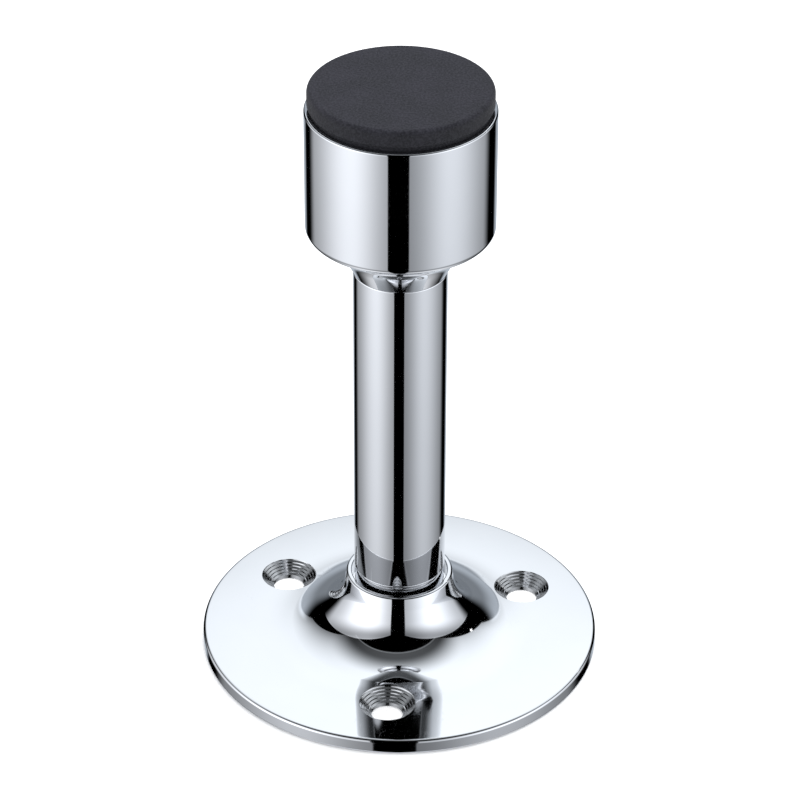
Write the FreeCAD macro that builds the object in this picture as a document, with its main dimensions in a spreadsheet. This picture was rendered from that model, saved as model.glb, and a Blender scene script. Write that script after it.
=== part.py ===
import FreeCAD, Part
import os

import Sketcher

# A projecting door stop: a chromed base plate with a trumpet-shaped boss, a tube
# standing in the boss, and a chromed cup on the tube that holds a rubber buffer.
# One threaded rod on the centre line clamps the metal pieces together.
# Millimetres. +Z runs up the centre line, z = 0 is the underside of the base plate.

DIMENSIONS = [
    # alias, value, meaning
    ("overall_height", 110, "underside of the plate to the face of the buffer"),
    ("plate_radius", 35, "widest radius of the base plate"),
    ("plate_thickness", 2.8, "thickness of the plate where the boss runs out into it"),
    ("plate_crown", 360, "radius of the slight fall of the top face towards the rim"),
    ("toe_radius", 45, "radius of the soft run-out of the flare into the plate"),
    ("toe_lift", 0.15, "how far that run-out raises the flare"),
    ("rim_upper_round", 0.6, "rounding of the upper edge of the plate"),
    ("rim_lower_round", 0.3, "rounding of the lower edge of the plate"),
    ("flare_radius", 10.6, "radius of the hollow flare between plate and boss"),
    ("boss_radius", 9.35, "outer radius of the boss at its rim"),
    ("boss_height", 14.1, "height of the rim of the boss"),
    ("boss_draft", 9, "degrees that the wall of the boss leans in towards its rim"),
    ("boss_round", 0.45, "rounding of the outer edge of that rim"),
    ("mouth_round", 0.2, "rounding of the inner edge of that rim"),
    ("mouth_radius", 8.45, "radius of the relief around the tube"),
    ("mouth_depth", 1.6, "depth of that relief"),
    ("socket_radius", 7.85, "radius of the socket that seats the foot plug"),
    ("socket_floor", 8.6, "height of the floor of the socket"),
    ("recess_radius", 8.2, "radius of the nut recess under the plate"),
    ("recess_depth", 6.8, "depth of the nut recess"),
    ("rod_hole_radius", 3.25, "clearance hole for the rod"),
    ("hole_circle_radius", 24.5, "radius of the circle of screw holes"),
    ("hole_diameter", 5.6, "screw hole"),
    ("countersink_diameter", 9.8, "90 degree countersink at the top face"),
    ("hole_count", 3, "number of screw holes"),
    ("post_radius", 8, "outer radius of the tube"),
    ("post_wall", 1.5, "wall of the tube"),
    ("post_foot", 15.6, "height of the lower end of the tube"),
    ("post_top", 75.7, "height of the upper end of the tube"),
    ("post_round", 0.25, "rounding of the ends of the tube"),
    ("collar_radius", 7.8, "collar of the foot plug, seen under the tube"),
    ("spigot_clearance", 0.02, "radial clearance of a spigot in the tube"),
    ("spigot_length", 12, "how far each spigot goes into the tube"),
    ("lead_in", 0.8, "bevel on the leading edge of a spigot"),
    ("head_radius", 16, "outer radius of the cup"),
    ("head_bottom", 83.2, "height of the underside of the cup"),
    ("head_rim", 106.1, "height of the rim of the cup"),
    ("head_edge", 1.35, "rounding of the lower edge of the cup"),
    ("head_lip", 0.35, "rounding of the rim of the cup"),
    ("neck_length", 2.6, "length of the slim cone above the tube"),
    ("neck_radius", 9.32, "radius at the top of the slim cone"),
    ("neck_curve", 52, "radius of the slight hollow of that cone"),
    ("neck_foot", 14, "radius where the neck runs out under the cup"),
    ("neck_flare", 12.5, "radius of the hollow flare under the cup"),
    ("cup_bore", 15.3, "radius of the cup at its mouth"),
    ("cup_ledge", 98.1, "height of the ledge in the cup"),
    ("well_radius", 11, "radius of the well below the ledge"),
    ("well_floor", 86.5, "height of the floor of the well"),
    ("flange_radius", 15.5, "radius of the visible face of the buffer"),
    ("flange_thickness", 2.9, "thickness of that face"),
    ("flange_edge", 0.9, "rounding of the edge of that face"),
    ("flange_under_edge", 0.25, "rounding of the edge below it"),
    ("groove_radius", 15, "radius of the groove under the face"),
    ("disc_radius", 15.2, "radius of the buffer inside the mouth of the cup"),
    ("disc_height", 99.1, "height of the underside of that disc"),
    ("stem_radius", 10.4, "radius of the hollow stem of the buffer"),
    ("stem_bore", 7, "radius of the hollow in the stem"),
    ("stem_foot", 90, "height of the lower end of the stem"),
    ("stem_hollow_top", 98, "height of the top of the hollow in the stem"),
    ("rib_radius", 10.9, "radius over the gripping ribs of the stem"),
    ("rib_height", 1.4, "width of one rib at its root"),
    ("rib_pitch", 2.5, "distance from rib to rib"),
    ("rib_start", 0.6, "distance from the foot of the stem to the first rib"),
    ("rib_root", 0.2, "how deep the root of a rib sits in the stem"),
    ("rib_count", 3, "number of ribs"),
    ("rod_radius", 2.95, "radius of the threaded rod"),
    ("rod_foot", 0.4, "height of the lower end of the rod"),
    ("rod_top", 96, "height of the upper end of the rod"),
    ("rod_chamfer", 0.6, "chamfer on the ends of the rod"),
    ("thread_radius", 3, "bore of the nuts"),
    ("nut_flats", 10, "width of the nuts across the flats"),
    ("thin_nut", 3.2, "thickness of the nut under the plate"),
    ("full_nut", 5, "thickness of the nut in the cup"),
    ("nut_bevel", 0.7, "height of the bevel on the corners of a nut"),
    ("nut_bevel_reach", 6.2, "outer radius of the cut that makes that bevel"),
    ("washer_radius", 6, "outer radius of the plain washers"),
    ("washer_bore", 3.2, "bore of both kinds of washer"),
    ("washer_thickness", 1.6, "thickness of both kinds of washer"),
    ("spring_washer_radius", 5.9, "outer radius of the spring washers"),
    ("spring_washer_sweep", 350, "degrees of ring left by the split"),
]

doc = FreeCAD.newDocument("DoorStop")
sheet = doc.addObject("Spreadsheet::Sheet", "Size")
for row, (alias, number, meaning) in enumerate(DIMENSIONS, start=1):
    sheet.set(f"A{row}", meaning)
    sheet.set(f"B{row}", str(number))
    sheet.setAlias(f"B{row}", alias)
doc.recompute()


def value(expression):
    """The number that an expression on the sheet's cells comes to."""
    return float(sheet.evalExpression(expression))


def new_body(name, height="0"):
    """A body called name whose own z = 0 stands at the given height."""
    body = doc.addObject("PartDesign::Body", name)
    body.Label = name
    body.setExpression("Placement.Base.z", height)
    return body


def origin_plane(body, role):
    return next(item for item in body.Origin.OriginFeatures if item.Role == role)


def new_sketch(body, name, role):
    sketch = body.newObject("Sketcher::SketchObject", name)
    sketch.AttachmentSupport = (origin_plane(body, role), [""])
    sketch.MapMode = "FlatFace"
    return sketch


def arc_between(start, end, radius):
    """Anticlockwise arc joining two points; a positive radius bows it to the left of start to end."""
    chord = end - start
    left = FreeCAD.Vector(-chord.y, chord.x, 0).normalize()
    size = abs(radius)
    bow = size - (size ** 2 - (chord.Length / 2) ** 2) ** 0.5
    if radius > 0:
        return Part.Arc(end, (start + end) * 0.5 + left * bow, start)
    return Part.Arc(start, (start + end) * 0.5 - left * bow, end)


def hold(sketch, edge, end, axis, expression):
    """Hold one coordinate of an edge's end at an expression, or on the axis if that comes to zero."""
    number = value(expression)
    if abs(number) < 1e-9:
        on_axis = -2 if axis == "X" else -1
        sketch.addConstraint(Sketcher.Constraint("PointOnObject", edge, end, on_axis))
        return
    index = sketch.addConstraint(Sketcher.Constraint(f"Distance{axis}", -1, 1, edge, end, number))
    sketch.setExpression(f"Constraints[{index}]", expression)


def half_section(body, name, corners, arcs=None):
    """Closed section in the body's XZ plane, held corner by corner.

    corners holds (radius, height) expressions. arcs gives the (sign, radius expression)
    of the edges that are arcs, by the number of the corner that they start from.
    """
    arcs = arcs or {}
    sketch = new_sketch(body, name, "XZ_Plane")
    points = [FreeCAD.Vector(value(x), value(z), 0) for x, z in corners]
    ends = []
    for number, start in enumerate(points):
        end = points[(number + 1) % len(points)]
        if number in arcs:
            sign, radius = arcs[number]
            sketch.addGeometry(arc_between(start, end, sign * value(radius)), False)
            ends.append((1, 2) if sketch.getPoint(number, 1).distanceToPoint(start) < 1e-6 else (2, 1))
        else:
            sketch.addGeometry(Part.LineSegment(start, end), False)
            ends.append((1, 2))
    for number, (x, z) in enumerate(corners):
        before = number - 1 if number else len(corners) - 1
        joint = Sketcher.Constraint("Coincident", before, ends[before][1], number, ends[number][0])
        sketch.addConstraint(joint)
        hold(sketch, number, ends[number][0], "X", x)
        hold(sketch, number, ends[number][0], "Y", z)
    for number, (_, radius) in arcs.items():
        index = sketch.addConstraint(Sketcher.Constraint("Radius", number, value(radius)))
        sketch.setExpression(f"Constraints[{index}]", radius)
    return sketch


def turned(body, name, corners, arcs=None, sweep=None):
    """A solid of revolution about the body's Z axis."""
    sketch = half_section(body, f"{name}Section", corners, arcs)
    feature = body.newObject("PartDesign::Revolution", name)
    feature.Profile = (sketch, [""])
    feature.ReferenceAxis = (sketch, ["V_Axis"])
    feature.Angle = 360
    if sweep:
        feature.setExpression("Angle", sweep)
    doc.recompute()
    return feature


def rings(feature, places):
    """Names of the feature's circular edges at the given (radius, height) expressions."""
    names = []
    for radius, height in places:
        wanted = (value(radius), value(height))
        for number, edge in enumerate(feature.Shape.Edges, start=1):
            if not isinstance(edge.Curve, Part.Circle):
                continue
            centre = edge.Curve.Center
            on_centre_line = abs(centre.x) < 1e-6 and abs(centre.y) < 1e-6
            found = abs(edge.Curve.Radius - wanted[0]) < 1e-4 and abs(centre.z - wanted[1]) < 1e-4
            if on_centre_line and found:
                names.append(f"Edge{number}")
    if len(names) != len(places):
        raise RuntimeError(f"{feature.Name}: {len(names)} of {len(places)} edges found")
    return names


def dressed(body, kind, name, feature, places, size):
    """Round (Fillet) or bevel (Chamfer) the circular edges at the given places."""
    dress = body.newObject(f"PartDesign::{kind}", name)
    dress.Base = (feature, rings(feature, places))
    dress.setExpression("Radius" if kind == "Fillet" else "Size", size)
    doc.recompute()
    return dress


def base_plate():
    """Cast base: round plate, flared boss with a socket, nut recess below, three screw holes."""
    body = new_body("base_plate")
    flare_foot = "Size.plate_thickness + Size.toe_lift"
    flare_top = f"{flare_foot} + Size.flare_radius * (1 - sin(Size.boss_draft))"
    neck = f"Size.boss_radius + (Size.boss_height - ({flare_top})) * tan(Size.boss_draft)"
    flare_centre = f"{neck} + Size.flare_radius * cos(Size.boss_draft)"
    apart = "(Size.toe_radius - Size.flare_radius)"
    run_out = f"sqrt(2 * Size.toe_lift * {apart} - Size.toe_lift ^ 2)"
    toe = f"{flare_centre} + {run_out}"
    touch = f"{flare_centre} - {run_out} * Size.flare_radius / {apart}"
    touch_height = f"{flare_foot} + Size.toe_lift * Size.flare_radius / {apart}"
    fall = f"Size.plate_crown - sqrt(Size.plate_crown ^ 2 - (Size.plate_radius - ({toe})) ^ 2)"
    rim_height = f"Size.plate_thickness - ({fall})"
    mouth_floor = "Size.boss_height - Size.mouth_depth"
    corners = [
        ("Size.recess_radius", "0"),
        ("Size.plate_radius", "0"),
        ("Size.plate_radius", rim_height),
        (toe, "Size.plate_thickness"),
        (touch, touch_height),
        (neck, flare_top),
        ("Size.boss_radius", "Size.boss_height"),
        ("Size.mouth_radius", "Size.boss_height"),
        ("Size.mouth_radius", mouth_floor),
        ("Size.socket_radius", mouth_floor),
        ("Size.socket_radius", "Size.socket_floor"),
        ("Size.rod_hole_radius", "Size.socket_floor"),
        ("Size.rod_hole_radius", "Size.recess_depth"),
        ("Size.recess_radius", "Size.recess_depth"),
    ]
    rounds = [
        ("UpperRim", "Size.plate_radius", rim_height, "Size.rim_upper_round"),
        ("LowerRim", "Size.plate_radius", "0", "Size.rim_lower_round"),
        ("BossRim", "Size.boss_radius", "Size.boss_height", "Size.boss_round"),
        ("BossMouth", "Size.mouth_radius", "Size.boss_height", "Size.mouth_round"),
    ]
    arcs = {2: (-1, "Size.plate_crown"), 3: (1, "Size.toe_radius"), 4: (1, "Size.flare_radius")}
    rounded = turned(body, "Casting", corners, arcs)
    for label, radius, height, size in rounds:
        rounded = dressed(body, "Fillet", label, rounded, [(radius, height)], size)

    sketch = new_sketch(body, "HoleCentre", "XY_Plane")
    sketch.setExpression("AttachmentOffset.Base.z", "Size.plate_thickness")
    centre = FreeCAD.Vector(0, -value("Size.hole_circle_radius"), 0)
    sketch.addGeometry(Part.Circle(centre, FreeCAD.Vector(0, 0, 1), value("Size.hole_diameter / 2")), False)
    hold(sketch, 0, 3, "X", "0")
    hold(sketch, 0, 3, "Y", "-Size.hole_circle_radius")
    index = sketch.addConstraint(Sketcher.Constraint("Diameter", 0, value("Size.hole_diameter")))
    sketch.setExpression(f"Constraints[{index}]", "Size.hole_diameter")
    hole = body.newObject("PartDesign::Hole", "ScrewHole")
    hole.Profile = (sketch, [""])
    doc.recompute()
    hole.DepthType = "ThroughAll"
    hole.setExpression("Diameter", "Size.hole_diameter")
    hole.HoleCutType = "Countersink"
    hole.HoleCutCustomValues = True
    hole.setExpression("HoleCutDiameter", "Size.countersink_diameter")
    hole.HoleCutCountersinkAngle = 90
    doc.recompute()
    pattern = body.newObject("PartDesign::PolarPattern", "ScrewHoles")
    pattern.Originals = [hole]
    pattern.Axis = (sketch, ["N_Axis"])
    pattern.Angle = 360
    pattern.setExpression("Occurrences", "Size.hole_count")
    body.Tip = pattern
    doc.recompute()
    must_lose(rounded, hole)
    must_lose(hole, pattern)
    return body


def must_lose(before, after):
    """A cut has to take material away."""
    if after.Shape.Volume > before.Shape.Volume - 1:
        raise RuntimeError(f"{after.Name} cut nothing from {before.Name}")


def post_tube():
    body = new_body("post_tube", "Size.post_foot")
    length = "Size.post_top - Size.post_foot"
    inner = "Size.post_radius - Size.post_wall"
    corners = [(inner, "0"), ("Size.post_radius", "0"), ("Size.post_radius", length), (inner, length)]
    tube = turned(body, "Tube", corners)
    ends = [("Size.post_radius", "0"), ("Size.post_radius", length)]
    dressed(body, "Fillet", "EndRounds", tube, ends, "Size.post_round")
    return body


def foot_plug():
    """Turned plug: its collar stands in the socket and its spigot centres the tube."""
    body = new_body("foot_plug", "Size.socket_floor")
    collar = "Size.post_foot - Size.socket_floor"
    top = f"{collar} + Size.spigot_length"
    spigot = "Size.post_radius - Size.post_wall - Size.spigot_clearance"
    corners = [
        ("Size.rod_hole_radius", "0"),
        ("Size.collar_radius", "0"),
        ("Size.collar_radius", collar),
        (spigot, collar),
        (spigot, top),
        ("Size.rod_hole_radius", top),
    ]
    plug = turned(body, "Plug", corners)
    leading = [(spigot, top), ("Size.collar_radius", "0")]
    dressed(body, "Chamfer", "LeadIn", plug, leading, "Size.lead_in")
    return body


def head_cup():
    """Cast cup: spigot in the tube, flared neck, well for the nut, ledge and thin mouth for the buffer."""
    body = new_body("head_cup", "Size.post_top")
    spigot = "Size.post_radius - Size.post_wall - Size.spigot_clearance"
    underside = "Size.head_bottom - Size.post_top"
    rim = "Size.head_rim - Size.post_top"
    ledge = "Size.cup_ledge - Size.post_top"
    floor = "Size.well_floor - Size.post_top"
    corners = [
        ("Size.rod_hole_radius", "-Size.spigot_length"),
        (spigot, "-Size.spigot_length"),
        (spigot, "0"),
        ("Size.post_radius", "0"),
        ("Size.neck_radius", "Size.neck_length"),
        ("Size.neck_foot", underside),
        ("Size.head_radius", underside),
        ("Size.head_radius", rim),
        ("Size.cup_bore", rim),
        ("Size.cup_bore", ledge),
        ("Size.well_radius", ledge),
        ("Size.well_radius", floor),
        ("Size.rod_hole_radius", floor),
    ]
    arcs = {3: (1, "Size.neck_curve"), 4: (1, "Size.neck_flare")}
    casting = turned(body, "Casting", corners, arcs)
    edge = [("Size.head_radius", underside)]
    lower = dressed(body, "Fillet", "LowerEdge", casting, edge, "Size.head_edge")
    lip = dressed(body, "Fillet", "Lip", lower, [("Size.head_radius", rim)], "Size.head_lip")
    dressed(body, "Chamfer", "LeadIn", lip, [(spigot, "-Size.spigot_length")], "Size.lead_in")
    return body


def rubber_buffer():
    """Moulded buffer: face, groove, disc in the mouth of the cup, hollow ribbed stem in its well."""
    body = new_body("rubber_buffer", "Size.stem_foot")
    face = "Size.overall_height - Size.stem_foot"
    flange = f"{face} - Size.flange_thickness"
    groove = "Size.head_rim - Size.stem_foot"
    disc = "Size.disc_height - Size.stem_foot"
    hollow = "Size.stem_hollow_top - Size.stem_foot"
    corners = [
        ("0", hollow),
        ("Size.stem_bore", hollow),
        ("Size.stem_bore", "0"),
        ("Size.stem_radius", "0"),
        ("Size.stem_radius", disc),
        ("Size.disc_radius", disc),
        ("Size.disc_radius", groove),
        ("Size.groove_radius", groove),
        ("Size.groove_radius", flange),
        ("Size.flange_radius", flange),
        ("Size.flange_radius", face),
        ("0", face),
    ]
    moulding = turned(body, "Moulding", corners)
    edge = [("Size.flange_radius", face)]
    top = dressed(body, "Fillet", "FaceEdge", moulding, edge, "Size.flange_edge")
    under = [("Size.flange_radius", flange)]
    dressed(body, "Fillet", "UnderEdge", top, under, "Size.flange_under_edge")
    root = "Size.stem_radius - Size.rib_root"
    rib = turned(body, "Rib", [
        (root, "Size.rib_start"),
        ("Size.rib_radius", "Size.rib_start + Size.rib_height / 2"),
        (root, "Size.rib_start + Size.rib_height"),
    ])
    ribs = body.newObject("PartDesign::LinearPattern", "Ribs")
    ribs.Originals = [rib]
    ribs.Direction = (rib.Profile[0], ["V_Axis"])
    ribs.Mode = "Spacing"
    ribs.setExpression("Offset", "Size.rib_pitch")
    ribs.setExpression("Occurrences", "Size.rib_count")
    body.Tip = ribs
    doc.recompute()
    return body


def tie_rod():
    body = new_body("tie_rod", "Size.rod_foot")
    length = "Size.rod_top - Size.rod_foot"
    corners = [("0", "0"), ("Size.rod_radius", "0"), ("Size.rod_radius", length), ("0", length)]
    rod = turned(body, "Rod", corners)
    ends = [("Size.rod_radius", "0"), ("Size.rod_radius", length)]
    dressed(body, "Chamfer", "Ends", rod, ends, "Size.rod_chamfer")
    return body


def washer(name, height):
    body = new_body(name, height)
    corners = [
        ("Size.washer_bore", "0"),
        ("Size.washer_radius", "0"),
        ("Size.washer_radius", "Size.washer_thickness"),
        ("Size.washer_bore", "Size.washer_thickness"),
    ]
    turned(body, "Washer", corners)
    return body


def spring_washer(name, height):
    """Split ring, pressed flat."""
    body = new_body(name, height)
    corners = [
        ("Size.washer_bore", "0"),
        ("Size.spring_washer_radius", "0"),
        ("Size.spring_washer_radius", "Size.washer_thickness"),
        ("Size.washer_bore", "Size.washer_thickness"),
    ]
    turned(body, "SplitRing", corners, sweep="Size.spring_washer_sweep")
    return body


def nut(name, height, thickness):
    """Hexagon nut with its corners bevelled on both faces."""
    body = new_body(name, height)
    prism = body.newObject("PartDesign::AdditivePrism", "Hexagon")
    prism.Polygon = 6
    prism.setExpression("Circumradius", "Size.nut_flats / sqrt(3)")
    prism.setExpression("Height", thickness)
    doc.recompute()
    bore = body.newObject("PartDesign::SubtractiveCylinder", "Bore")
    bore.setExpression("Radius", "Size.thread_radius")
    bore.setExpression("Height", thickness)
    doc.recompute()
    must_lose(prism, bore)
    flats = "Size.nut_flats / 2"
    beyond = "Size.nut_bevel_reach"
    upper = ("Upper", thickness, f"{thickness} - Size.nut_bevel")
    lower = ("Lower", "0", "Size.nut_bevel")
    for label, face, inside in (upper, lower):
        corners = [(flats, face), (beyond, face), (beyond, inside)]
        sketch = half_section(body, f"{label}BevelSection", corners)
        groove = body.newObject("PartDesign::Groove", f"{label}Bevel")
        groove.Profile = (sketch, [""])
        groove.ReferenceAxis = (sketch, ["V_Axis"])
        groove.Angle = 360
        doc.recompute()
    if body.Shape.Volume > bore.Shape.Volume - 0.5:
        raise RuntimeError(f"{name}: the corner bevels cut nothing")
    return body


def fastener_stack():
    """The nut and washers at each end of the rod."""
    under = "Size.recess_depth - Size.washer_thickness"
    over = "Size.well_floor + Size.washer_thickness"
    return [
        washer("base_washer", under),
        spring_washer("base_spring_washer", f"{under} - Size.washer_thickness"),
        nut("base_nut", f"{under} - Size.washer_thickness - Size.thin_nut", "Size.thin_nut"),
        washer("head_washer", "Size.well_floor"),
        spring_washer("head_spring_washer", over),
        nut("head_nut", f"{over} + Size.washer_thickness", "Size.full_nut"),
    ]


subparts = [base_plate(), post_tube(), foot_plug(), head_cup(), rubber_buffer(), tie_rod()]
subparts += fastener_stack()
doc.recompute()

for item in doc.Objects:
    if {"Invalid", "Error"} & set(item.State):
        raise RuntimeError(f"{item.Name} is {item.State}")
for body in subparts:
    shape = body.Shape
    if shape.isNull() or not shape.isValid() or len(shape.Solids) != 1:
        raise RuntimeError(f"{body.Label} isn't one valid solid")

os.makedirs("parts", exist_ok=True)
for body in subparts:
    body.Shape.exportStep(f"parts/{body.Label}.step")
    box = body.Shape.BoundBox
    print(f"{body.Label:20s} volume {body.Shape.Volume:9.1f}  z {box.ZMin:7.2f} to {box.ZMax:7.2f}")
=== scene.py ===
import math

import bpy
from mathutils import Matrix, Vector


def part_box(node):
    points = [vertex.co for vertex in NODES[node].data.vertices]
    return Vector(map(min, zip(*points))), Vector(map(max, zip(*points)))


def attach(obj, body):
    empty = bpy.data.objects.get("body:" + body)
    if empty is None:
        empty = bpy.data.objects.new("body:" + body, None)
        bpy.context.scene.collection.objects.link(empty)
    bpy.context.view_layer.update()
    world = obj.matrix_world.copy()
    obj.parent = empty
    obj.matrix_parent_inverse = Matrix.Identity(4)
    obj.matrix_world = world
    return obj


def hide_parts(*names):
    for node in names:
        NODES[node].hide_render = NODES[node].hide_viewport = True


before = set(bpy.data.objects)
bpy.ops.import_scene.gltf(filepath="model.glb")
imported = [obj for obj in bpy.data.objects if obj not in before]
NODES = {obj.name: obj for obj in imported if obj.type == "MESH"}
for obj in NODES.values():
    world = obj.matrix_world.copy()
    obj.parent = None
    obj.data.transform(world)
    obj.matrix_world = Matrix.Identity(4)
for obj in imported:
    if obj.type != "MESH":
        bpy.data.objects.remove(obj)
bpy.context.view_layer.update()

# A projecting door stop: chromed base, tube and cup, and a rubber buffer on top.
# The frame is in metres; outlines and material scales below are in millimetres.

MM = 0.001
AROUND = 288            # steps around every turned piece
ARC_STEP = math.radians(2)
SHARP = math.radians(32)


# ---------------------------------------------------------------- sizes

def top_of(node):
    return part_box(node)[1].z / MM


def foot_of(node):
    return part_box(node)[0].z / MM


def radius_of(node):
    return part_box(node)[1].x / MM


PLATE_RADIUS = round(radius_of("base_plate"), 1)
BOSS_TOP = top_of("base_plate")
POST_RADIUS = radius_of("post_tube")
POST_FOOT = foot_of("post_tube")
POST_TOP = top_of("post_tube")
HEAD_RADIUS = radius_of("head_cup")
HEAD_FOOT = foot_of("head_cup")
HEAD_RIM = top_of("head_cup")
FACE_RADIUS = radius_of("rubber_buffer")
FACE_TOP = top_of("rubber_buffer")
STEM_FOOT = foot_of("rubber_buffer")
COLLAR_RADIUS = radius_of("foot_plug")
SOCKET_FLOOR = foot_of("foot_plug")
PLUG_TOP = top_of("foot_plug")
ROD_RADIUS = radius_of("tie_rod")
ROD_FOOT = foot_of("tie_rod")
ROD_TOP = top_of("tie_rod")

ROD_HOLE = 3.25
SPIGOT_RADIUS = 6.48
LEAD_IN = 0.8

PLATE_THICKNESS = 2.8
PLATE_CROWN = 360.0
CROWN_STEPS = 10
UPPER_RIM_ROUND = 0.6
LOWER_RIM_ROUND = 0.3
TOE_RADIUS = 45.0
TOE_LIFT = 0.15
FLARE_RADIUS = 10.6
BOSS_RADIUS = 9.35
BOSS_DRAFT = math.radians(9)
BOSS_ROUND = 0.45
MOUTH_RADIUS = 8.45
MOUTH_DEPTH = 1.6
MOUTH_ROUND = 0.2
SOCKET_RADIUS = 7.85
RECESS_RADIUS = 8.2
RECESS_DEPTH = 6.8

HOLE_COUNT = 3
HOLE_CIRCLE = 24.5
HOLE_RADIUS = 2.8
SINK_RADIUS = 4.9
SINK_RINGS = 5          # turning steps down a countersink
RING_SHARE = 0.8        # how much of a step is cone, the rest is riser
RING_DEPTH = 0.11
CUTTER_STEPS = 96

POST_WALL = 1.5
POST_ROUND = 0.25
BORE_ROUND = 0.15
COLLAR_ROUND = 0.15

HEAD_BOTTOM = 83.2
HEAD_EDGE = 1.35
HEAD_LIP = 0.35
NECK_LENGTH = 2.6
NECK_RADIUS = 9.32
NECK_CURVE = 52
NECK_FOOT = 14
NECK_FLARE = 12.5
CUP_BORE = 15.3
CUP_LEDGE = 98.1
WELL_RADIUS = 11
WELL_FLOOR = 86.5

FLANGE_THICKNESS = 2.9
FLANGE_EDGE = 0.9
FLANGE_UNDER_EDGE = 0.25
GROOVE_RADIUS = 15
DISC_RADIUS = 15.2
DISC_HEIGHT = 99.1
STEM_RADIUS = 10.4
STEM_BORE = 7
STEM_HOLLOW_TOP = 98
STEM_ROUND = 0.4
RIB_COUNT = 3
RIB_PITCH = 2.5
RIB_START = 0.6
RIB_RADIUS = 10.9
RIB_HALF = 0.7
RIB_ROOT_HALF = 0.44    # half the width that a rib shows above the stem

THREAD_PITCH = 1.0
THREAD_DEPTH = 0.5
THREAD_LENGTH = 14
THREAD_RUN_OUT = 1.5
ROD_BEVEL = 0.6
ROD_STEPS = 48


# ---------------------------------------------------------------- meshes

def arc_points(start, end, centre):
    """Points strictly between start and end on the short arc around centre."""
    first = math.atan2(start.y - centre.y, start.x - centre.x)
    last = math.atan2(end.y - centre.y, end.x - centre.x)
    turn = (last - first + math.pi) % (2 * math.pi) - math.pi
    steps = max(2, math.ceil(abs(turn) / ARC_STEP))
    radius = (start - centre).length
    angles = [first + turn * k / steps for k in range(1, steps)]
    return [centre + radius * Vector((math.cos(a), math.sin(a))) for a in angles]


def bowed(start, end, radius):
    """Points strictly between two corners on an arc; a positive radius bows it to the left."""
    chord = end - start
    left = Vector((-chord.y, chord.x)).normalized() * math.copysign(1, radius)
    centre = (start + end) / 2 - left * math.sqrt(radius ** 2 - chord.length_squared / 4)
    return arc_points(start, end, centre)


def rounded(before, corner, after, radius):
    """The two tangent points of a rounded corner with the arc between them."""
    back, on = (before - corner).normalized(), (after - corner).normalized()
    half = back.angle(on) / 2
    first = corner + back * radius / math.tan(half)
    last = corner + on * radius / math.tan(half)
    centre = corner + (back + on).normalized() * radius / math.sin(half)
    return [first, *arc_points(first, last, centre), last]


def outline(corners, arcs=None, rounds=None):
    """A closed section as points: arcs by the corner they start from, rounds by their corner."""
    arcs, rounds = arcs or {}, rounds or {}
    corners = [Vector(c) for c in corners]
    points = []
    for number, corner in enumerate(corners):
        after = corners[(number + 1) % len(corners)]
        if number in rounds:
            points += rounded(corners[number - 1], corner, after, rounds[number])
        else:
            points.append(corner)
        if number in arcs:
            points += bowed(corner, after, arcs[number])
    return points


def lathe(name, section, steps=AROUND, centre=(0, 0)):
    """A closed mesh turned around an upright axis from an anticlockwise section in millimetres."""
    rows, verts = [], []
    for point in section:
        count = 1 if point.x < 1e-6 else steps
        rows.append([len(verts) + k for k in range(count)])
        for k in range(count):
            turn = 2 * math.pi * k / steps
            x = centre[0] + point.x * math.cos(turn)
            y = centre[1] + point.x * math.sin(turn)
            verts.append((x * MM, y * MM, point.y * MM))
    faces = []
    for number, row in enumerate(rows):
        above = rows[(number + 1) % len(rows)]
        if len(row) == 1 and len(above) == 1:
            continue
        for k in range(steps):
            after = (k + 1) % steps
            if len(row) == 1:
                faces.append((row[0], above[after], above[k]))
            elif len(above) == 1:
                faces.append((row[k], row[after], above[0]))
            else:
                faces.append((row[k], row[after], above[after], above[k]))
    mesh = bpy.data.meshes.new(name)
    mesh.from_pydata(verts, [], faces)
    mesh.validate()
    piece = bpy.data.objects.new(name, mesh)
    bpy.context.scene.collection.objects.link(piece)
    return piece


def applied(piece, kind, **settings):
    """Add a modifier to the piece and bake it into the mesh."""
    modifier = piece.modifiers.new(kind, kind)
    for key, setting in settings.items():
        setattr(modifier, key, setting)
    bpy.context.view_layer.update()
    evaluated = piece.evaluated_get(bpy.context.evaluated_depsgraph_get())
    mesh = bpy.data.meshes.new_from_object(evaluated)
    piece.modifiers.clear()
    old = piece.data
    piece.data = mesh
    bpy.data.meshes.remove(old)
    mesh.name = piece.name


def smoothed(piece):
    """Smooth shading that follows the large faces, broken at real edges."""
    piece.data.shade_smooth()
    piece.data.set_sharp_from_angle(angle=SHARP)
    applied(piece, "WEIGHTED_NORMAL", keep_sharp=True, weight=50)
    return piece


def fitted(piece, body, node, material=None):
    """The piece stands for a CAD node, moves with its body and takes its finish."""
    if material:
        piece.data.materials.append(material)
    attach(piece, body)
    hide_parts(node)
    return piece


# ---------------------------------------------------------------- pieces

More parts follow.
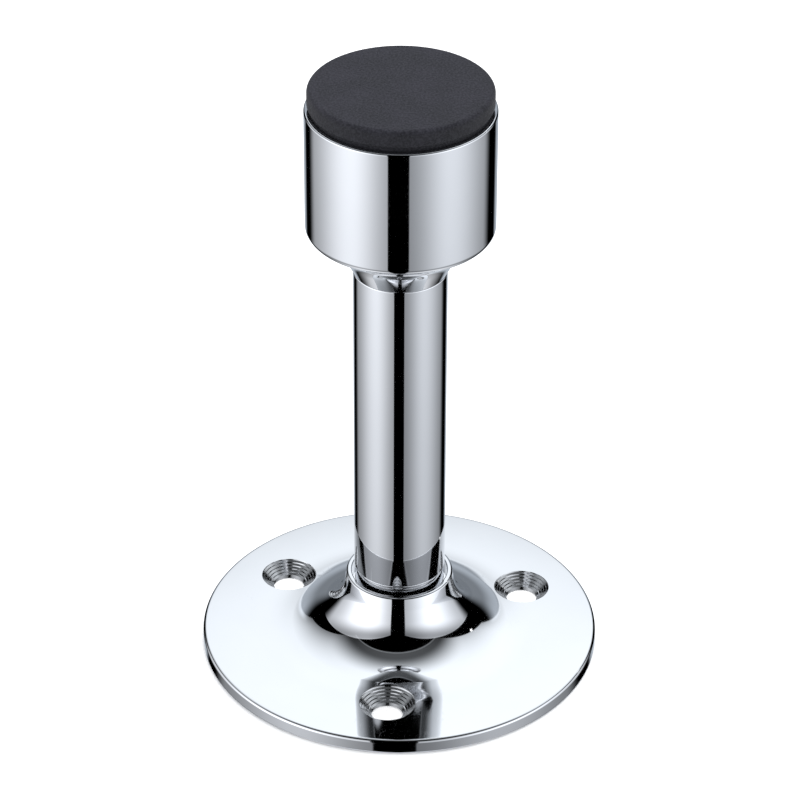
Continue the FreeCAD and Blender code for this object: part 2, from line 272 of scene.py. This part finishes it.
def base_plate(finish, sink_finish):
    """Cast base with its flared boss, socket, nut recess and three countersunk screw holes."""
    flare_foot = PLATE_THICKNESS + TOE_LIFT
    flare_top = flare_foot + FLARE_RADIUS * (1 - math.sin(BOSS_DRAFT))
    neck = BOSS_RADIUS + (BOSS_TOP - flare_top) * math.tan(BOSS_DRAFT)
    flare_centre = Vector((neck + FLARE_RADIUS * math.cos(BOSS_DRAFT), flare_foot + FLARE_RADIUS))
    toe = flare_centre.x + math.sqrt(2 * TOE_LIFT * (TOE_RADIUS - FLARE_RADIUS) - TOE_LIFT ** 2)
    toe_centre = Vector((toe, PLATE_THICKNESS + TOE_RADIUS))
    touch = flare_centre + (flare_centre - toe_centre).normalized() * FLARE_RADIUS
    reach = [toe + (PLATE_RADIUS - toe) * k / CROWN_STEPS for k in range(CROWN_STEPS, 0, -1)]
    top = [(r, PLATE_THICKNESS - (r - toe) ** 2 / (2 * PLATE_CROWN)) for r in reach]
    mouth_floor = BOSS_TOP - MOUTH_DEPTH
    corners = [
        (RECESS_RADIUS, 0), (PLATE_RADIUS, 0), *top,
        (toe, PLATE_THICKNESS), touch, (neck, flare_top),
        (BOSS_RADIUS, BOSS_TOP), (MOUTH_RADIUS, BOSS_TOP), (MOUTH_RADIUS, mouth_floor),
        (SOCKET_RADIUS, mouth_floor), (SOCKET_RADIUS, SOCKET_FLOOR), (ROD_HOLE, SOCKET_FLOOR),
        (ROD_HOLE, RECESS_DEPTH), (RECESS_RADIUS, RECESS_DEPTH),
    ]
    foot = 2 + len(top)     # the corner where the soft run-out of the flare begins
    arcs = {foot: TOE_RADIUS, foot + 1: FLARE_RADIUS}
    rounds = {1: LOWER_RIM_ROUND, 2: UPPER_RIM_ROUND, foot + 3: BOSS_ROUND, foot + 4: MOUTH_ROUND}
    plate = lathe("base_casting", outline(corners, arcs, rounds))
    plate.data.materials.append(finish)
    for number in range(HOLE_COUNT):
        turn = 2 * math.pi * number / HOLE_COUNT - math.pi / 2
        cutter = screw_hole_cutter(HOLE_CIRCLE * math.cos(turn), HOLE_CIRCLE * math.sin(turn))
        cutter.data.materials.append(sink_finish)
        cut = {"object": cutter, "operation": "DIFFERENCE", "solver": "EXACT", "material_mode": "TRANSFER"}
        applied(plate, "BOOLEAN", **cut)
        bpy.data.objects.remove(cutter)
    return smoothed(plate)


def screw_hole_cutter(x, y):
    """The space of one screw hole: a bore and a cone with the fine steps of its turning tool."""
    beyond = 1
    depth = SINK_RADIUS - HOLE_RADIUS
    throat = PLATE_THICKNESS - depth
    section = [(0, -beyond), (HOLE_RADIUS, -beyond)]
    for ring in range(SINK_RINGS):
        low = HOLE_RADIUS + depth * ring / SINK_RINGS
        high = HOLE_RADIUS + depth * (ring + RING_SHARE) / SINK_RINGS
        section.append((low, throat + low - HOLE_RADIUS))
        section.append((high, throat + high - HOLE_RADIUS - RING_DEPTH))
    section.append((SINK_RADIUS, PLATE_THICKNESS))
    section.append((SINK_RADIUS + beyond, PLATE_THICKNESS + beyond))
    section.append((0, PLATE_THICKNESS + beyond))
    return lathe("cutter", outline(section), CUTTER_STEPS, (x, y))


def post_tube():
    """Drawn tube with its ends rounded inside and out."""
    inner = POST_RADIUS - POST_WALL
    corners = [(inner, POST_FOOT), (POST_RADIUS, POST_FOOT), (POST_RADIUS, POST_TOP), (inner, POST_TOP)]
    rounds = {0: BORE_ROUND, 1: POST_ROUND, 2: POST_ROUND, 3: BORE_ROUND}
    return smoothed(lathe("post_tube_body", outline(corners, rounds=rounds)))


def foot_plug():
    """Turned plug: its collar stands in the socket, its spigot in the tube."""
    corners = [
        (ROD_HOLE, SOCKET_FLOOR), (COLLAR_RADIUS - LEAD_IN, SOCKET_FLOOR),
        (COLLAR_RADIUS, SOCKET_FLOOR + LEAD_IN), (COLLAR_RADIUS, POST_FOOT),
        (SPIGOT_RADIUS, POST_FOOT), (SPIGOT_RADIUS, PLUG_TOP - LEAD_IN),
        (SPIGOT_RADIUS - LEAD_IN, PLUG_TOP), (ROD_HOLE, PLUG_TOP),
    ]
    return smoothed(lathe("foot_plug_body", outline(corners, rounds={3: COLLAR_ROUND})))


def head_cup():
    """Cast cup with its flared neck, thin mouth, ledge and well."""
    corners = [
        (ROD_HOLE, HEAD_FOOT), (SPIGOT_RADIUS - LEAD_IN, HEAD_FOOT), (SPIGOT_RADIUS, HEAD_FOOT + LEAD_IN),
        (SPIGOT_RADIUS, POST_TOP), (POST_RADIUS, POST_TOP), (NECK_RADIUS, POST_TOP + NECK_LENGTH),
        (NECK_FOOT, HEAD_BOTTOM), (HEAD_RADIUS, HEAD_BOTTOM), (HEAD_RADIUS, HEAD_RIM),
        (CUP_BORE, HEAD_RIM), (CUP_BORE, CUP_LEDGE), (WELL_RADIUS, CUP_LEDGE),
        (WELL_RADIUS, WELL_FLOOR), (ROD_HOLE, WELL_FLOOR),
    ]
    arcs = {4: NECK_CURVE, 5: NECK_FLARE}
    rounds = {7: HEAD_EDGE, 8: HEAD_LIP}
    return smoothed(lathe("head_cup_body", outline(corners, arcs, rounds)))


def rubber_buffer():
    """Moulded buffer: face, groove, disc in the mouth of the cup, hollow ribbed stem."""
    ribs = []
    for number in range(RIB_COUNT):
        foot = STEM_FOOT + RIB_START + RIB_PITCH * number
        tip = foot + RIB_HALF
        ribs += [(STEM_RADIUS, tip - RIB_ROOT_HALF), (RIB_RADIUS, tip), (STEM_RADIUS, tip + RIB_ROOT_HALF)]
    under = FACE_TOP - FLANGE_THICKNESS
    corners = [
        (0, STEM_HOLLOW_TOP), (STEM_BORE, STEM_HOLLOW_TOP), (STEM_BORE, STEM_FOOT),
        (STEM_RADIUS, STEM_FOOT), *ribs, (STEM_RADIUS, DISC_HEIGHT), (DISC_RADIUS, DISC_HEIGHT),
        (DISC_RADIUS, HEAD_RIM), (GROOVE_RADIUS, HEAD_RIM), (GROOVE_RADIUS, under),
        (FACE_RADIUS, under), (FACE_RADIUS, FACE_TOP), (0, FACE_TOP),
    ]
    face = len(corners) - 2
    rounds = {2: STEM_ROUND, 3: STEM_ROUND, face - 1: FLANGE_UNDER_EDGE, face: FLANGE_EDGE}
    return smoothed(lathe("rubber_face", outline(corners, rounds=rounds)))


def threaded_stud():
    """Stud with a rolled thread at each end and a plain shank between."""
    shank_step, thread_step = 2.0, THREAD_PITCH / 8
    crest = 1.15            # above 1 leaves a narrow flat on the crests
    rows = []
    z = ROD_FOOT
    while z < ROD_TOP - 1e-6:
        rows.append(z)
        plain = ROD_FOOT + THREAD_LENGTH < z < ROD_TOP - THREAD_LENGTH - 1
        z += shank_step if plain else thread_step
    rows.append(ROD_TOP)
    verts, faces = [], []
    for z in rows:
        end = min(z - ROD_FOOT, ROD_TOP - z)
        cut = THREAD_DEPTH * min(1, max(0, (THREAD_LENGTH - end) / THREAD_RUN_OUT))
        bevel = max(0, ROD_BEVEL - end)
        for k in range(ROD_STEPS):
            turn = 2 * math.pi * k / ROD_STEPS
            phase = (z / THREAD_PITCH - k / ROD_STEPS) % 1
            groove = max(0, 1 - abs(phase - 0.5) * 2 * crest)
            radius = ROD_RADIUS - max(cut * groove, bevel)
            verts.append((radius * math.cos(turn) * MM, radius * math.sin(turn) * MM, z * MM))
    for row in range(len(rows) - 1):
        for k in range(ROD_STEPS):
            a, b = row * ROD_STEPS + k, row * ROD_STEPS + (k + 1) % ROD_STEPS
            faces.append((a, b, b + ROD_STEPS, a + ROD_STEPS))
    last = (len(rows) - 1) * ROD_STEPS
    faces.append(tuple(reversed(range(ROD_STEPS))))
    faces.append(tuple(last + k for k in range(ROD_STEPS)))
    mesh = bpy.data.meshes.new("stud")
    mesh.from_pydata(verts, [], faces)
    mesh.validate()
    stud = bpy.data.objects.new("tie_rod_thread", mesh)
    bpy.context.scene.collection.objects.link(stud)
    return smoothed(stud)


# ---------------------------------------------------------------- materials

class Shader:
    """A material's nodes, with its Principled shader and coordinates in millimetres."""

    def __init__(self, name):
        self.material = bpy.data.materials.new(name)
        self.material.use_nodes = True
        self.tree = self.material.node_tree
        self.shader = self.tree.nodes["Principled BSDF"]
        place = self.tree.nodes.new("ShaderNodeTexCoord").outputs["Object"]
        self.place = self.scaled(place, (1 / MM, 1 / MM, 1 / MM))

    def link(self, source, target):
        self.tree.links.new(source, target)

    def scaled(self, vector, factors):
        node = self.tree.nodes.new("ShaderNodeVectorMath")
        node.operation = "MULTIPLY"
        self.link(vector, node.inputs[0])
        node.inputs[1].default_value = factors
        return node.outputs[0]

    def noise(self, scale, detail=3, stretch=(1, 1, 1), roughness=0.5):
        """Noise whose features are about 1 / scale millimetres across."""
        node = self.tree.nodes.new("ShaderNodeTexNoise")
        self.link(self.scaled(self.place, stretch), node.inputs["Vector"])
        node.inputs["Scale"].default_value = scale
        node.inputs["Detail"].default_value = detail
        node.inputs["Roughness"].default_value = roughness
        return node.outputs["Fac"]

    def spread(self, value, low, high, to_low, to_high):
        """value from low..high spread onto to_low..to_high, and held at the ends."""
        node = self.tree.nodes.new("ShaderNodeMapRange")
        node.interpolation_type = "SMOOTHSTEP"
        for index, number in enumerate((low, high, to_low, to_high), start=1):
            node.inputs[index].default_value = number
        self.link(value, node.inputs[0])
        return node.outputs[0]

    def maths(self, operation, *inputs):
        node = self.tree.nodes.new("ShaderNodeMath")
        node.operation = operation
        for index, item in enumerate(inputs):
            if isinstance(item, (int, float)):
                node.inputs[index].default_value = item
            else:
                self.link(item, node.inputs[index])
        return node.outputs[0]

    def colour(self, value, dark, light):
        """A colour between dark and light by value."""
        node = self.tree.nodes.new("ShaderNodeMix")
        node.data_type = "RGBA"
        self.link(value, node.inputs[0])
        node.inputs[6].default_value = (*dark, 1)
        node.inputs[7].default_value = (*light, 1)
        return node.outputs[2]

    def bump(self, height, distance, under=None):
        """Relief of that depth in millimetres, on top of an earlier one."""
        node = self.tree.nodes.new("ShaderNodeBump")
        node.inputs["Strength"].default_value = 1.0
        node.inputs["Distance"].default_value = distance * MM
        self.link(height, node.inputs["Height"])
        if under:
            self.link(under, node.inputs["Normal"])
        return node.outputs["Normal"]

    def set(self, **sockets):
        for name, item in sockets.items():
            socket = self.shader.inputs[name.replace("_", " ")]
            if isinstance(item, bpy.types.NodeSocket):
                self.link(item, socket)
            else:
                socket.default_value = item
        return self.material


def scratches(s, along, across):
    """Sparse hair-thin polishing marks: stretched noise where it passes a narrow level."""
    marks = s.noise(1.0, 2, (along, along, across))
    near = s.maths("ABSOLUTE", s.maths("SUBTRACT", marks, 0.5))
    return s.spread(near, 0.0, 0.012, 1, 0)


def chrome_casting():
    """Bright nickel-chrome plating on a polished casting, faintly uneven underneath."""
    s = Shader("chrome_casting")
    cloud = s.noise(0.08, 4)
    marks = scratches(s, 0.15, 2.2)
    relief = s.bump(s.noise(0.22, 2), 0.002)
    relief = s.bump(s.noise(3.0, 3), 0.00006, under=relief)
    haze = s.spread(cloud, 0.35, 0.7, 0.025, 0.06)
    return s.set(
        Base_Color=s.colour(cloud, (0.78, 0.79, 0.81), (0.83, 0.84, 0.86)),
        Metallic=1.0,
        Roughness=s.maths("ADD", haze, s.maths("MULTIPLY", marks, 0.05)),
        Normal=relief,
    )


def chrome_tube():
    """Bright chrome on a drawn and belt-polished tube."""
    s = Shader("chrome_tube")
    cloud = s.noise(0.06, 3)
    marks = scratches(s, 0.12, 3.0)
    relief = s.bump(s.noise(0.12, 2, (1, 1, 0.4)), 0.001)
    haze = s.spread(cloud, 0.35, 0.7, 0.02, 0.05)
    return s.set(
        Base_Color=s.colour(cloud, (0.79, 0.80, 0.82), (0.83, 0.84, 0.86)),
        Metallic=1.0,
        Roughness=s.maths("ADD", haze, s.maths("MULTIPLY", marks, 0.04)),
        Normal=relief,
    )


def chrome_turned():
    """Chrome over fine lathe lines."""
    s = Shader("chrome_turned")
    lines = s.noise(1.0, 2, (0.02, 0.02, 9))
    relief = s.bump(lines, 0.002)
    return s.set(
        Base_Color=s.colour(lines, (0.76, 0.77, 0.79), (0.83, 0.84, 0.86)),
        Metallic=1.0,
        Roughness=s.spread(lines, 0.3, 0.7, 0.06, 0.14),
        Normal=relief,
    )


def countersunk():
    """Thinly plated tool marks in the countersinks: greyer and softer than the polished face."""
    s = Shader("countersunk_chrome")
    grain = s.noise(5, 3)
    tone = s.noise(0.9, 3)
    return s.set(
        Base_Color=s.colour(tone, (0.50, 0.50, 0.51), (0.74, 0.75, 0.76)),
        Metallic=1.0,
        Roughness=s.spread(tone, 0.3, 0.7, 0.10, 0.2),
        Normal=s.bump(grain, 0.0005),
    )


def zinc_steel():
    """Bright zinc plating: a pale grey with soft blotches and a fine crystalline grain."""
    s = Shader("zinc_steel")
    blotch = s.noise(0.7, 4)
    grain = s.noise(9, 3)
    return s.set(
        Base_Color=s.colour(blotch, (0.52, 0.54, 0.57), (0.68, 0.69, 0.70)),
        Metallic=1.0,
        Roughness=s.spread(blotch, 0.3, 0.7, 0.24, 0.42),
        Normal=s.bump(grain, 0.006),
    )


def spring_steel():
    """Oiled spring steel: dark blue-grey, browner in places."""
    s = Shader("spring_steel")
    blotch = s.noise(0.5, 4)
    grain = s.noise(7, 3)
    return s.set(
        Base_Color=s.colour(blotch, (0.16, 0.15, 0.15), (0.30, 0.31, 0.34)),
        Metallic=1.0,
        Roughness=s.spread(blotch, 0.3, 0.7, 0.30, 0.5),
        Normal=s.bump(grain, 0.008),
    )


def rubber():
    """Charcoal rubber with a fine moulded grain and a dusty bloom."""
    s = Shader("rubber")
    grain = s.noise(2.6, 4, roughness=0.6)
    fine = s.noise(9, 3)
    bloom = s.noise(0.18, 4)
    mottle = s.maths("ADD", s.spread(grain, 0.36, 0.64, 0, 0.6), s.spread(bloom, 0.3, 0.7, 0, 0.4))
    relief = s.bump(grain, 0.03)
    relief = s.bump(fine, 0.01, under=relief)
    return s.set(
        Base_Color=s.colour(mottle, (0.006, 0.006, 0.009), (0.028, 0.028, 0.036)),
        Roughness=s.spread(bloom, 0.3, 0.7, 0.62, 0.78),
        Specular_IOR_Level=0.3,
        Sheen_Weight=0.06,
        Sheen_Roughness=0.5,
        Normal=relief,
    )


def dress_cad_nodes(finishes):
    """Nuts and washers keep their CAD shape and get their finish."""
    for material, names in finishes:
        for name in names:
            mesh = NODES[name].data
            mesh.materials.clear()
            mesh.materials.append(material)


# ---------------------------------------------------------------- studio

CAMERA_AZIMUTH = 4.8
CAMERA_ELEVATION = 32.552
CAMERA_DISTANCE = 0.629197
CAMERA_ROLL = 0.182
AIM_HEIGHT = 0.049434
LENS = 164.628
FLOOR_GAP = 0.00002     # keeps the floor just under the plate


def direction(azimuth, elevation):
    """Unit vector; azimuth 0 is the -Y side and 90 the +X side."""
    a, e = math.radians(azimuth), math.radians(elevation)
    return Vector((math.sin(a) * math.cos(e), -math.cos(a) * math.cos(e), math.sin(e)))


def camera():
    data = bpy.data.cameras.new("camera")
    data.lens = LENS
    data.sensor_width = 36
    data.clip_start, data.clip_end = 0.01, 20
    eye = bpy.data.objects.new("camera", data)
    bpy.context.scene.collection.objects.link(eye)
    way = direction(CAMERA_AZIMUTH, CAMERA_ELEVATION)
    turn = (-way).to_track_quat("-Z", "Y").to_matrix().to_4x4()
    roll = Matrix.Rotation(math.radians(CAMERA_ROLL), 4, "Z")
    eye.matrix_world = Matrix.Translation(Vector((0, 0, AIM_HEIGHT)) + way * CAMERA_DISTANCE) @ turn @ roll
    bpy.context.scene.camera = eye


class Sky(Shader):
    """The studio as seen from the object; directions are relative to the camera's azimuth."""

    def __init__(self):
        world = bpy.data.worlds.new("studio")
        bpy.context.scene.world = world
        world.use_nodes = True
        world.cycles.sampling_method = "NONE"
        self.tree = world.node_tree
        self.background = self.tree.nodes["Background"]
        split = self.tree.nodes.new("ShaderNodeSeparateXYZ")
        self.link(self.tree.nodes.new("ShaderNodeTexCoord").outputs["Generated"], split.inputs[0])
        self.x, self.y, self.z = split.outputs
        self.elevation = self.maths("DEGREES", self.maths("ARCSINE", self.z))

    def towards(self, azimuth):
        """How far the level part of a direction points towards that azimuth."""
        way = direction(azimuth + CAMERA_AZIMUTH, 0)
        return self.plus(self.times(self.x, way.x), self.times(self.y, way.y))

    def azimuth(self):
        return self.maths("DEGREES", self.maths("ARCTAN2", self.towards(90), self.towards(0)))

    def times(self, *values):
        product = values[0]
        for value in values[1:]:
            product = self.maths("MULTIPLY", product, value)
        return product

    def plus(self, *values):
        total = values[0]
        for value in values[1:]:
            total = self.maths("ADD", total, value)
        return total

    def bell(self, value, width):
        ratio = self.maths("DIVIDE", value, width)
        return self.maths("EXPONENT", self.times(ratio, ratio, -1.0))

    def tinted(self, value, tint):
        node = self.tree.nodes.new("ShaderNodeVectorMath")
        node.operation = "SCALE"
        node.inputs[0].default_value = tint
        self.link(value, node.inputs["Scale"])
        return node.outputs[0]

    def together(self, *colours):
        total = colours[0]
        for colour in colours[1:]:
            node = self.tree.nodes.new("ShaderNodeVectorMath")
            self.link(total, node.inputs[0])
            self.link(colour, node.inputs[1])
            total = node.outputs[0]
        return total

    def choose(self, switch, otherwise, chosen):
        node = self.tree.nodes.new("ShaderNodeMix")
        node.data_type = "RGBA"
        self.link(switch, node.inputs[0])
        for socket, item in ((node.inputs[6], otherwise), (node.inputs[7], chosen)):
            if isinstance(item, tuple):
                socket.default_value = (*item, 1)
            else:
                self.link(item, socket)
        return node.outputs[2]


def side_panel(sky, side, facing, tall, near, far, peak, low_end):
    """A large soft panel beside the object, flat and upright, brightest in its middle.

    side is -1 for left and 1 for right. facing is the azimuth that it stands at, near and far those
    of its ends, and tall its height over its distance. It is dimmer below the elevation low_end.
    """
    from_front = sky.times(sky.azimuth(), float(side))
    apart = sky.plus(from_front, -61.0)
    width = sky.spread(apart, -10, 10, 36, 46)
    glow = sky.times(sky.plus(sky.times(sky.bell(apart, width), 0.72), 0.28), peak)
    ends = sky.times(
        sky.spread(from_front, near - 0.7, near + 0.7, 0, 1),
        sky.spread(from_front, far - 8, far + 8, 1, 0),
    )
    rise = sky.maths("DIVIDE", sky.z, sky.maths("MAXIMUM", sky.towards(side * facing), 0.05))
    top = sky.spread(rise, tall - 0.015, tall + 0.015, 1, 0)
    shade = sky.spread(sky.elevation, 8, 34, 1, 0.28)
    low = sky.spread(sky.elevation, -46, low_end, 0.42, 1.7)
    hem = sky.spread(rise, tall - 0.05, tall - 0.02, 1.0, 1.35)
    return sky.times(glow, ends, top, shade, low, hem)


def overhead_panel(sky):
    """A level soft panel overhead, bright towards the back and dark at its front edge."""
    up = sky.maths("MAXIMUM", sky.z, 0.01)
    across = sky.maths("DIVIDE", sky.towards(84.7), up)
    back = sky.maths("DIVIDE", sky.towards(174.7), up)
    left, right, front, rear = -1.42, 1.25, -0.5, 1.8
    soft, rear_soft = 0.012, 0.05
    inside = sky.times(
        sky.spread(across, left - soft, left + soft, 0, 1),
        sky.spread(across, right - soft, right + soft, 1, 0),
        sky.spread(back, front - soft, front + soft, 0, 1),
        sky.spread(back, rear - rear_soft, rear + rear_soft, 1, 0),
    )
    glow = sky.times(
        sky.spread(back, -0.28, 0.5, 0.09, 1.2),
        sky.spread(back, 1.2, 2.0, 1, 0.6),
        sky.bell(across, sky.spread(across, -0.3, 0.3, 1.1, 1.5)),
    )
    hem = sky.spread(back, -0.47, -0.44, 0.12, 0)
    return sky.times(inside, sky.plus(glow, hem))


def back_panel(sky):
    """The dim wall behind the object."""
    behind = sky.maths("MAXIMUM", sky.towards(180), 0.05)
    across = sky.maths("DIVIDE", sky.towards(90), behind)
    inside = sky.times(
        sky.spread(sky.towards(180), 0.0, 0.1, 0, 1),
        sky.spread(across, -0.56, -0.32, 0, 1),
        sky.spread(across, 0.36, 0.62, 1, 0),
        sky.spread(sky.elevation, 27, 31, 1, 0),
    )
    return sky.times(inside, sky.plus(
        sky.spread(sky.elevation, -34, -18, 0.5, 0.22),
        sky.spread(sky.elevation, 8, 28, 0.0, 0.25),
    ))


def table_glow(sky):
    """Light from under the object, none on the camera's side."""
    off_front = sky.maths("ABSOLUTE", sky.plus(sky.azimuth(), 2.5))
    return sky.times(sky.spread(sky.elevation, -66, -46, 0.6, 0.0), sky.spread(off_front, 11, 18, 0, 1))


def far_lamp(sky):
    """A small bare lamp beyond the overhead panel."""
    way = direction(124 + CAMERA_AZIMUTH, 30)
    near = sky.plus(sky.times(sky.x, way.x), sky.times(sky.y, way.y), sky.times(sky.z, way.z))
    return sky.spread(near, math.cos(math.radians(1.6)), math.cos(math.radians(0.8)), 0, 4)


def studio_light():
    """White for the camera, soft grey for matt surfaces, panels for what reflects."""
    sky = Sky()
    left = side_panel(sky, -1, facing=60, tall=0.84, near=15.2, far=131, peak=1.0, low_end=-14.0)
    right = side_panel(sky, 1, facing=50, tall=0.79, near=10.2, far=124, peak=0.82, low_end=-12.0)
    total = sky.together(
        sky.tinted(left, (1.0, 1.03, 1.08)),
        sky.tinted(right, (1.0, 1.04, 1.10)),
        sky.tinted(overhead_panel(sky), (1.0, 1.05, 1.10)),
        sky.tinted(back_panel(sky), (1.0, 1.10, 1.22)),
        sky.tinted(far_lamp(sky), (1.0, 1.0, 1.0)),
        sky.tinted(table_glow(sky), (1.0, 1.02, 1.06)),
    )
    path = sky.tree.nodes.new("ShaderNodeLightPath")
    seen = sky.choose(path.outputs["Is Glossy Ray"], (0.55, 0.56, 0.58), total)
    seen = sky.choose(path.outputs["Is Camera Ray"], seen, (1.0, 1.0, 1.0))
    sky.link(seen, sky.background.inputs["Color"])


def overhead_light():
    data = bpy.data.lights.new("overhead", "AREA")
    data.shape = "DISK"
    data.size = 1.0
    data.energy = 22
    lamp = bpy.data.objects.new("overhead", data)
    bpy.context.scene.collection.objects.link(lamp)
    tilt = Matrix.Rotation(math.radians(-10), 4, "X")
    lamp.matrix_world = Matrix.Translation((0.1, 0.25, 1.3)) @ tilt
    lamp.visible_glossy = False


def floor():
    s = Shader("floor")
    s.set(Base_Color=(0.92, 0.92, 0.92, 1), Roughness=1.0, Specular_IOR_Level=0.0)
    mesh = bpy.data.meshes.new("floor")
    half = 4.0
    corners = [(-half, -half, 0), (half, -half, 0), (half, half, 0), (-half, half, 0)]
    mesh.from_pydata(corners, [], [(0, 1, 2, 3)])
    mesh.materials.append(s.material)
    ground = bpy.data.objects.new("floor", mesh)
    bpy.context.scene.collection.objects.link(ground)
    ground.location.z = -FLOOR_GAP
    ground.visible_glossy = False


# ---------------------------------------------------------------- the scene

casting, tube, turned = chrome_casting(), chrome_tube(), chrome_turned()
zinc, spring = zinc_steel(), spring_steel()
fitted(base_plate(casting, countersunk()), "stop", "base_plate")
fitted(post_tube(), "stop", "post_tube", tube)
fitted(foot_plug(), "stop", "foot_plug", turned)
fitted(head_cup(), "stop", "head_cup", casting)
fitted(threaded_stud(), "stop", "tie_rod", zinc)
fitted(rubber_buffer(), "buffer", "rubber_buffer", rubber())
dress_cad_nodes([
    (zinc, ("base_washer", "base_nut", "head_washer", "head_nut")),
    (spring, ("base_spring_washer", "head_spring_washer")),
])

camera()
studio_light()
overhead_light()
floor()
bpy.context.scene.view_settings.view_transform = "Standard"
